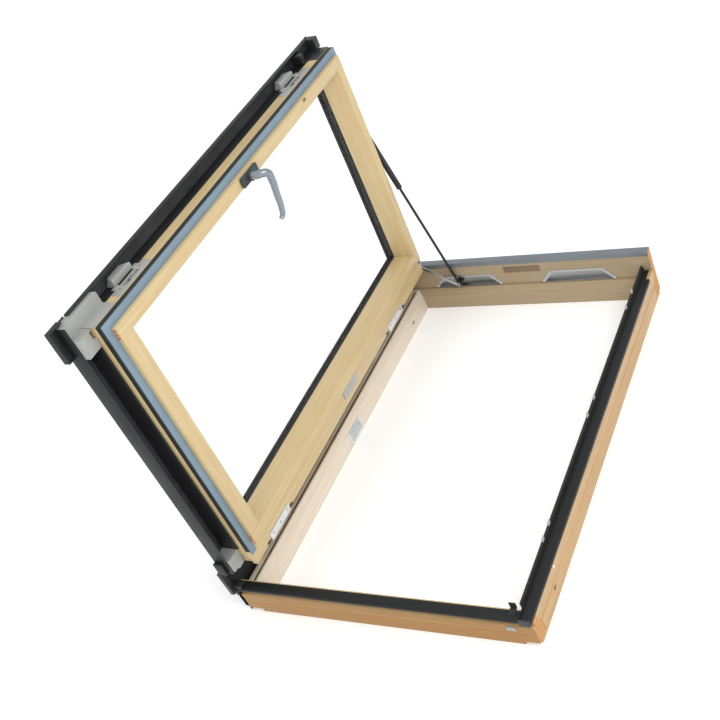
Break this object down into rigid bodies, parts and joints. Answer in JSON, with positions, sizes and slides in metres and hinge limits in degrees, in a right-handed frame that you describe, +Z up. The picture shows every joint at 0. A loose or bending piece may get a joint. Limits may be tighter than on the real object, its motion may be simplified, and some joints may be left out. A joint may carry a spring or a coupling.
{
  "type": "side-hung roof window",
  "caption": "Side-hung roof window: a pine frame with an insulating-glass sash standing open on cranked hinges, held by a gas strut at the head.",
  "frame": {"origin": "centre of the frame's opening, on the plane of the frame's underside", "axes": "+Z up out of the roof side, +Y along the frame from the sill to the head, +X from the hinge side to the lock side"},
  "size_m": [0.793, 1.2095, 0.9388],
  "materials": {
    "pine": "clear satin lacquer",
    "anthracite_aluminium": "powder coat, satin",
    "gray_aluminium": "powder coat, satin",
    "black_plastic": "moulded",
    "black_rubber": "matte",
    "brown_rubber": "matte",
    "steel": "satin",
    "brown_plate": "matte",
    "zinc_steel": "zinc plated",
    "light_plastic": "moulded",
    "glass": "clear",
    "bluegray_rubber": "matte",
    "satin_handle": "satin lacquer",
    "black_steel": "black lacquer"
  },
  "bodies": {
    "frame": {"sill": "pine", "head": "pine", "hinge_stile": "pine", "lock_stile": "pine", "sill_cladding": "anthracite_aluminium", "lock_side_cladding": "anthracite_aluminium", "head_cladding": "gray_aluminium", "hinge_side_cladding": "anthracite_aluminium", "sill_corner_cap": "black_plastic", "hinge_corner_cap": "black_plastic", "lock_side_seal": "black_rubber", "hinge_side_seal": "brown_rubber", "strut_pocket": "steel", "spare_pocket": "steel", "pocket_screws": "steel", "blank_plate": "brown_plate", "strikers": "steel", "keeper": "steel", "frame_hinge_leaves": "zinc_steel", "hinge_pins": "steel", "frame_screws": "zinc_steel", "sill_clip": "light_plastic"},
    "sash": {"free_stile": "pine", "hinge_side_stile": "pine", "bottom_rail": "pine", "top_rail": "pine", "inner_pane": "glass", "spacer": "black_plastic", "outer_pane": "glass", "glazing_seal": "black_rubber", "weather_gasket": "bluegray_rubber", "side_gasket": "black_rubber", "free_cover": "anthracite_aluminium", "hinge_side_cover": "anthracite_aluminium", "bottom_cover": "anthracite_aluminium", "top_cover": "anthracite_aluminium", "corner_block": "light_plastic", "end_block": "light_plastic", "recess_profile": "black_plastic", "cover_corner_cap": "anthracite_aluminium", "top_corner_bracket": "black_plastic", "lock_housings": "light_plastic", "sash_hinge_leaves": "zinc_steel", "catch_plate": "light_plastic", "handle_rosette": "satin_handle", "strut_bracket": "black_steel", "arm_bracket": "zinc_steel"},
    "handle": {"handle_lever": "satin_handle"},
    "lock_bolts": {"lock_bolts": "steel"},
    "pocket_slider": {"pocket_slider": "steel"},
    "stay_arm": {"stay_arm": "steel"},
    "strut_rod": {"strut_rod": "black_steel"},
    "strut_cylinder": {"strut_cylinder": "black_steel"}
  },
  "joints": [
    {"name": "sash_hinge", "type": "hinge", "parent": "frame", "child": "sash", "pos_m": [-0.3935, 0, 0.154], "axis": [0, 1, 0], "range_deg": [0, 88]},
    {"name": "handle_turn", "type": "hinge", "parent": "sash", "child": "handle", "pos_m": [-0.24464, 0.013, 0.86374], "axis": [-0.9994, 0, 0.0349], "range_deg": [0, 90]},
    {"name": "bolt_slide", "type": "slide", "parent": "sash", "child": "lock_bolts", "axis": [0, 1, 0], "range_m": [0, 0.018]},
    {"name": "slider_slide", "type": "slide", "parent": "frame", "child": "pocket_slider", "axis": [-1, 0, 0], "range_m": [0, 0.04524]},
    {"name": "arm_pivot", "type": "hinge", "parent": "pocket_slider", "child": "stay_arm", "pos_m": [-0.214, 0.56, 0.087], "axis": [0, 1, 0], "range_deg": [-41.13, 0]},
    {"name": "strut_pivot", "type": "hinge", "parent": "pocket_slider", "child": "strut_rod", "pos_m": [-0.214, 0.56, 0.087], "axis": [0, 1, 0], "range_deg": [0, 97.5]},
    {"name": "strut_slide", "type": "slide", "parent": "strut_rod", "child": "strut_cylinder", "axis": [0.1661, 0, -0.9861], "range_m": [0, 0.2079]}
  ],
  "couplings": [
    {"joint": "bolt_slide", "follows": "handle_turn", "m_per_rad": 0.011459},
    {"joint": "slider_slide", "follows": "sash_hinge", "m_per_rad": 0.029453},
    {"joint": "arm_pivot", "follows": "sash_hinge", "ratio": -0.46733},
    {"joint": "strut_pivot", "follows": "sash_hinge", "ratio": 1.1079},
    {"joint": "strut_slide", "follows": "sash_hinge", "m_per_rad": 0.13536}
  ]
}
